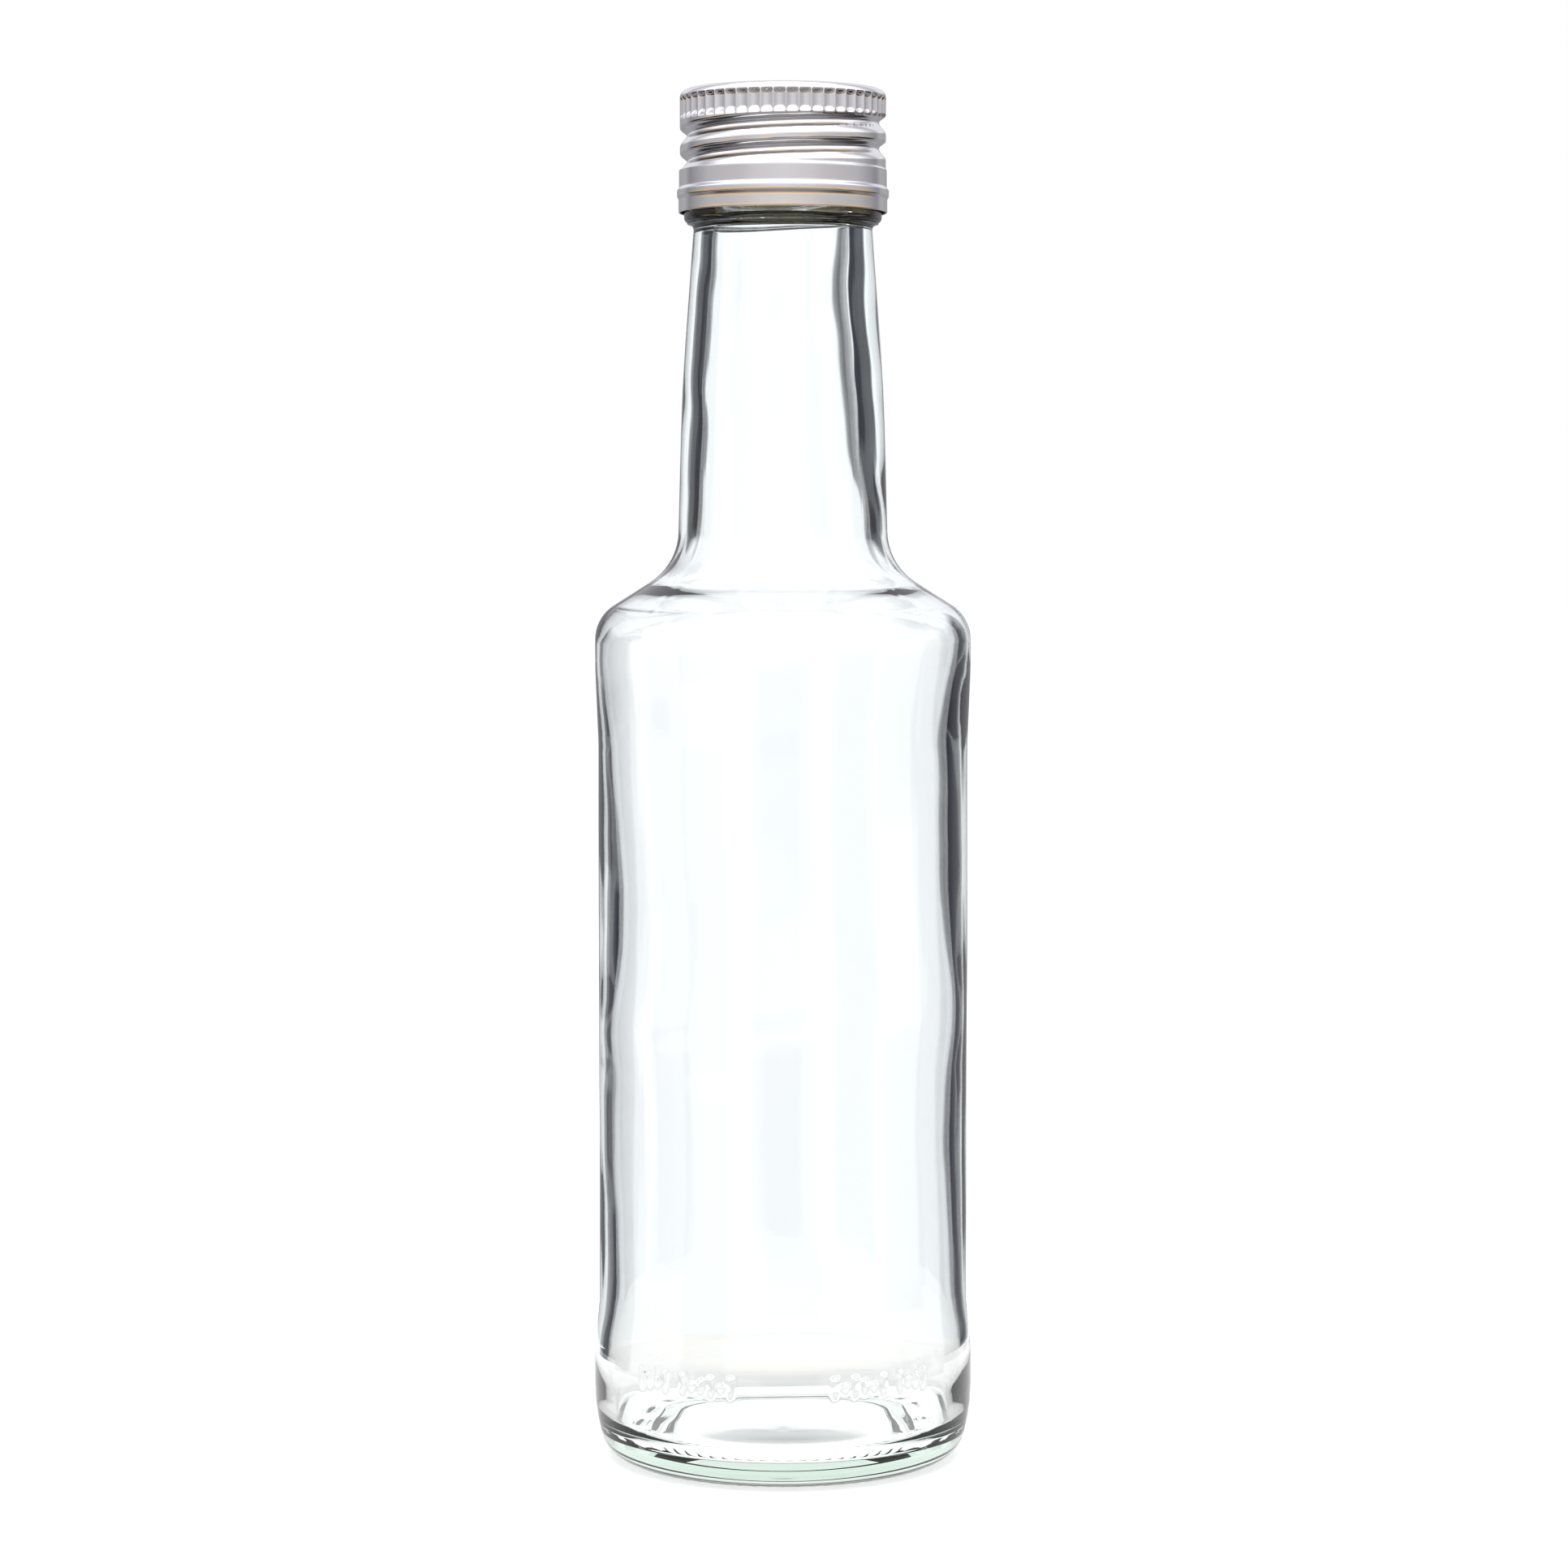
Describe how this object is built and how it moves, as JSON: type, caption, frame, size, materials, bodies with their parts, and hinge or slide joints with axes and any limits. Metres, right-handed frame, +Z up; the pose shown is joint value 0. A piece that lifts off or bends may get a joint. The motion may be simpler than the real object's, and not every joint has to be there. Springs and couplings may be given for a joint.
{
  "type": "glass bottle",
  "caption": "Empty clear glass bottle with a straight neck, a sloped shoulder and an aluminium screw cap that seals its mouth.",
  "frame": {"origin": "centre of the base, on the surface the bottle stands on", "axes": "+Z up along the bottle's axis to the cap, -Y towards the viewer's side"},
  "size_m": [0.0522, 0.0522, 0.1877],
  "materials": {
    "clear_glass": "smooth clear flint glass with a faint green tint",
    "cap_aluminium": "bright satin rolled aluminium sheet"
  },
  "bodies": {
    "root": {"bottle": "clear_glass", "cap": "cap_aluminium"}
  },
  "joints": []
}
